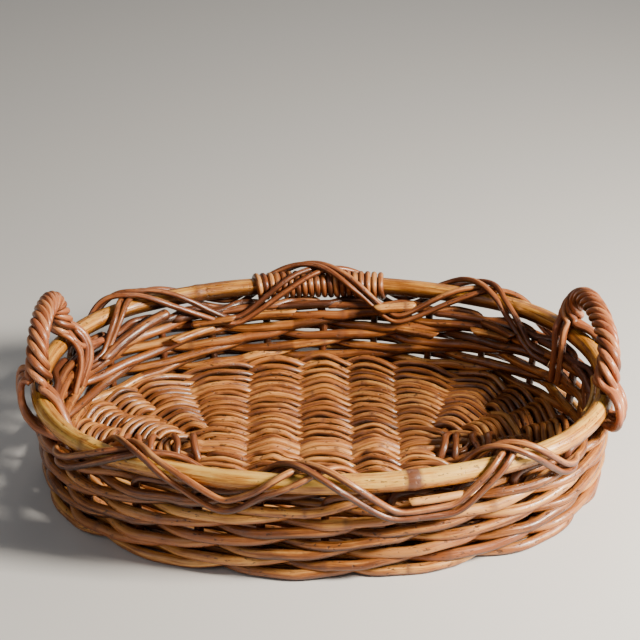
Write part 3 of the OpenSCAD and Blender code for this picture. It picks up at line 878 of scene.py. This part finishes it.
def lacing():
    for side, (scallops, depths) in LACING_PLANS.items():
        front = side == "front"
        start = s_at(scallops[1][1] * MM, front)

        def along(x):
            s = s_at(x * MM, front)
            # Keep the arc lengths of one side in one run
            if s - start > 2 * QUARTER:
                s -= PERIMETER
            if start - s > 2 * QUARTER:
                s += PERIMETER
            return s

        # Anticlockwise the front runs left to right and the back right to left
        order = 1 if front else -1
        canes = Canes()
        for sign in (1, -1):
            spans = [[along(x) for x in scallop[::order]] for scallop in scallops[::order]]
            lace_wave(spans, [d * MM for d in depths[::order]], sign,
                      0.0 if front else OVER_BINDING, canes)
        nodes = ["lacing_%s_%s" % (side, p) for p in ("left", "middle", "right")]
        canes.make("lacing_" + side, LACING, "lacing_cane", *nodes)


# ---------------------------------------------------------------- handles
# Half the distance between the legs, and how far the handle sits
# anticlockwise of the end of the oval, both along the rim
RIGHT_HALF, RIGHT_SHIFT = 66 * MM, 15 * MM
LEFT_HALF, LEFT_SHIFT = 51 * MM, -11 * MM
# How far each handle leans outward at its top
RIGHT_LEAN = 7 * MM
LEFT_LEAN = 2 * MM
ROPE_FOOT = 14 * MM
ROPE_STEPS = 110
BOW_R = 3.9 * MM
STRAND_R = 3.2 * MM
ROPE_R = 6.8 * MM
ROPE_TURNS = 3.2
STRANDS = 5
# Ways round the hoop for a strand's end, in millimetres: along the hoop away
# from the handle's middle, outward from the hoop's middle, and up from it
DOWN_INSIDE = ((-1, -5, 14), (-2, -11, 9), (-4, -13.5, 0), (-7, -15, -10), (-9, -17, -22),
               (-10, -18.5, -34), (-10, -19, -42))
CROSS_INSIDE = ((2, 2, 14), (9, -4, 12.8), (18, -11, 6), (26, -13.5, -4), (33, -15.5, -14),
                (39, -17.5, -24), (43, -18.5, -32))
BOW_OUTSIDE = ((-8, 12, 22), (-13, 16, 12), (-9, 17, -1), (1, 15, -10), (15, 10, -14.5),
               (31, 1, -15.5), (43, -7, -17))
BOW_INSIDE = ((2, -7, 13), (6, -14, 5), (6, -19, -6), (0, -21, -17), (-8, -20, -27),
              (-13, -18.5, -36))
LEVEL_INSIDE = ((-1, -6, 13), (-4, -13, 7), (2, -15.5, -1), (13, -15, -5), (25, -14.5, -8),
                (37, -14.5, -10))
HOOK_OUTSIDE = ((3, 8, 15), (9, 15, 9), (13, 19, -1), (11, 16, -10), (5, 9, -14.5),
                (-3, 1, -15), (-9, -7, -16))
ALONG_HOOP = ((-2, -4, 12.6), (-14, 3, 12.4), (-28, 10, 8), (-40, 12.5, -2), (-48, 8, -11),
              (-54, -1, -14))


def handle(side, half, shift):
    """Rope handle: side is +1 for the right one, half is half the distance
    between its legs along the rim, and shift moves it along the rim."""
    name = "right" if side > 0 else "left"
    middle = shift if side > 0 else 2 * QUARTER + shift
    _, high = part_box("handle_%s_core" % name)
    rise = high.z - FRAME_CORE_R - RIM_Z
    lean_most = RIGHT_LEAN if side > 0 else LEFT_LEAN
    leg_angle = half / END_R
    mid_x, mid_y, facing = rim_point(middle)
    outward = np.array([math.cos(facing), math.sin(facing), 0.0])
    along = np.array([-math.sin(facing), math.cos(facing), 0.0])
    centre = np.array([mid_x, mid_y, 0]) - outward * END_R
    foot_out = END_R * math.cos(leg_angle)
    foot_along = END_R * math.sin(leg_angle)

    def arch(t):
        c = math.cos(math.pi * t)
        up = max(math.sin(math.pi * t), 0.0) ** 0.8
        lean = foot_out + lean_most * up
        return (centre + outward * lean
                + along * foot_along * math.copysign(abs(c) ** 0.85, c)
                + np.array([0, 0, RIM_Z + ROPE_FOOT + (rise - ROPE_FOOT) * up]))

    steps = ROPE_STEPS
    # Even steps along the arch
    fine = np.linspace(0, 1, 400)
    curve = np.array([arch(t) for t in fine])
    travelled = np.concatenate([[0], np.cumsum(np.linalg.norm(np.diff(curve, axis=0), axis=1))])
    even = np.interp(np.linspace(0, travelled[-1], steps + 1), travelled, fine)
    spine = np.array([arch(t) for t in even])
    ahead = np.gradient(spine, axis=0)
    ahead[0] = ahead[-1] = 0
    ahead[0][2], ahead[-1][2] = 1, -1
    ahead /= np.linalg.norm(ahead, axis=1)[:, None]
    out = outward[None] - (ahead @ outward)[:, None] * ahead
    out /= np.linalg.norm(out, axis=1)[:, None]
    across = np.cross(ahead, out)

    def wrap(angle, leg):
        """The end of a strand: its way round the hoop, as the places (along the
        hoop and away from the handle's middle, outward, up)."""
        front = (leg < 0) == (side > 0)
        c = math.cos(angle)
        if side < 0 and front:
            way = BOW_OUTSIDE if c > 0.1 else CROSS_INSIDE
        elif side < 0:
            way = LEVEL_INSIDE if c > 0.5 else BOW_INSIDE
        elif front:
            way = HOOK_OUTSIDE
        else:
            way = ALONG_HOOP if c > 0.1 else DOWN_INSIDE
        s = middle + leg * half
        spread = 10 * math.sin(angle)
        slack = rng.uniform(0.96, 1.12)
        return np.array([beside(s + leg * (along_by * slack + spread) * MM, u * slack * MM,
                                RIM_Z + v * slack * MM) for along_by, u, v in way])

    foot_near = np.clip(1 - (spine[:, 2] - RIM_Z - ROPE_FOOT) / (32 * MM), 0, 1)
    rope_r = ROPE_R * (1 + 0.5 * foot_near ** 1.5)[:, None]
    for k in range(STRANDS):
        start = TAU * k / STRANDS
        spin = start + leg_angle - TAU * ROPE_TURNS * np.linspace(0, 1, steps + 1)
        rope = spine + rope_r * (np.cos(spin)[:, None] * out + np.sin(spin)[:, None] * across)
        stop = start - TAU * ROPE_TURNS
        path = np.concatenate([wrap(start, 1)[::-1], rope[2:-2], wrap(stop, -1)])
        path = smooth_path(path, 2.2 * MM)
        canes = Canes()
        canes.add(path, STRAND_R * rng.uniform(0.97, 1.1), rng.uniform(0.35, 1.15),
                  rng.uniform(0, 1), sides=12, cut=(True, True), knots=5)
        canes.make("handle_%s_cane_%d" % (name, k + 1), HANDLE, "handle_cane",
                   "handle_%s_strand_%d" % (name, k + 1))
    canes = Canes()
    foot = np.array([spine[0] * (1, 1, 0) + [0, 0, RIM_Z + RIM_R]])
    end = np.array([spine[-1] * (1, 1, 0) + [0, 0, RIM_Z + RIM_R]])
    canes.add(np.concatenate([foot, spine, end]), BOW_R, 0.1, 0.5, sides=12)
    canes.make("handle_%s_bow" % name, DARK, "stake_cane", "handle_%s_core" % name)


def smooth_path(points, step):
    """Rounds a path's corners and spaces its points evenly."""
    p = np.asarray(points, float)
    for _ in range(3):
        length = np.concatenate([[0], np.cumsum(np.linalg.norm(np.diff(p, axis=0), axis=1))])
        n = max(8, int(length[-1] / step))
        grid = np.linspace(0, length[-1], n)
        p = np.stack([np.interp(grid, length, p[:, i]) for i in range(3)], 1)
        q = p.copy()
        q[1:-1] = 0.25 * p[:-2] + 0.5 * p[1:-1] + 0.25 * p[2:]
        p = q
    return p


# ---------------------------------------------------------------- loose ends
# Ends of rods inside the back of the wall: x of the tip, height and length in
# millimetres, slope, direction along the wall, radius in millimetres, and tone
BACK_ENDS = ((-30, 74, 46, 0.10, 1, 4.4, 0.6), (60, 80, 34, -0.05, -1, 4.8, 1.0),
             (-92, 73, 38, 0.12, 1, 4.2, 0.3), (157, 70, 36, 0.1, -1, 4.1, 0.7),
             (118, 58, 40, 0.06, 1, 4.2, 0.4), (-150, 60, 42, -0.06, -1, 4.2, 0.8),
             (196, 76, 40, 0.0, 1, 4.2, 0.2), (-222, 68, 88, -0.2, -1, 5.6, 0.5))
# Rods with a larger radius than this, in millimetres, are dark
THICK_END = 5
FRONT_END_X = 66 * MM


def cut_ends():
    """Cut ends of spliced rods that stick out of the weave."""
    canes, dark = Canes(), Canes()
    for x, z, length, slope, way, radius, tone in BACK_ENDS:
        s = s_at(x * MM, False)
        pts = []
        for f in np.linspace(0, 1, 14):
            u = stake_off(z * MM) - 8 * MM - (2 + 9 * f) * MM
            pts.append(beside(s - way * (f - 1) * length * MM, u,
                              (z - slope * length * (1 - f)) * MM))
        group = dark if radius > THICK_END else canes
        group.add(pts, radius * MM, tone, 0.4, cut=(False, True), slant=1.1, sides=12, knots=6)
    s = s_at(FRONT_END_X, True)
    pts = [beside(s + f * 50 * MM, (11.0 - 2.5 * f) * MM, RIM_Z - (14.0 + 1.0 * f) * MM)
           for f in np.linspace(1, 0, 16)]
    canes.add(pts, 3.4 * MM, 1.4, 0.0, cut=(False, True), slant=0.5, sides=12, knots=2)
    canes.make("cut_ends", WALL, "wall_cane")
    dark.make("cut_end_thick", DARK, "stake_cane")


# ---------------------------------------------------------------- studio
# Name, place, size, watts and colour of each lamp, and the point all aim at
LAMPS = (("key", (1.12, -0.42, 0.80), 0.30, 62, (1.0, 0.93, 0.82)),
         ("fill", (-1.6, -1.2, 1.3), 1.4, 6.5, (0.96, 0.97, 1.0)),
         ("back", (0.3, 1.7, 1.5), 1.2, 5, (1.0, 0.97, 0.93)))
LAMP_AIM = (0, 0, 0.06)


def studio():
    mesh = bpy.data.meshes.new("floor_plane")
    size = 12
    mesh.from_pydata([(-size, -size, 0), (size, -size, 0), (size, size, 0), (-size, size, 0)],
                     [], [(0, 1, 2, 3)])
    plane = bpy.data.objects.new("floor_plane", mesh)
    bpy.context.scene.collection.objects.link(plane)
    m = Nodes("studio_floor")
    shader = m.node("ShaderNodeBsdfPrincipled")
    shader.inputs["Base Color"].default_value = (0.72, 0.70, 0.67, 1)
    shader.inputs["Roughness"].default_value = 0.7
    out = m.node("ShaderNodeOutputMaterial")
    m.wire(shader.outputs[0], out.inputs[0])
    mesh.materials.append(m.material)
    world = bpy.data.worlds.new("studio")
    world.use_nodes = True
    world.node_tree.nodes["Background"].inputs[0].default_value = (0.86, 0.88, 0.92, 1)
    world.node_tree.nodes["Background"].inputs[1].default_value = 0.12
    bpy.context.scene.world = world
    for name, place, size, power, colour in LAMPS:
        data = bpy.data.lights.new(name, "AREA")
        data.size = size
        data.energy = power
        data.color = colour
        lamp = bpy.data.objects.new(name, data)
        lamp.location = place
        aim = Vector(LAMP_AIM) - Vector(place)
        lamp.rotation_euler = aim.to_track_quat("-Z", "Y").to_euler()
        bpy.context.scene.collection.objects.link(lamp)


floor()
base_sticks()
wall()
stakes()
hoop()
splint()
binding()
lacing()
handle(1, RIGHT_HALF, RIGHT_SHIFT)
handle(-1, LEFT_HALF, LEFT_SHIFT)
cut_ends()
studio()
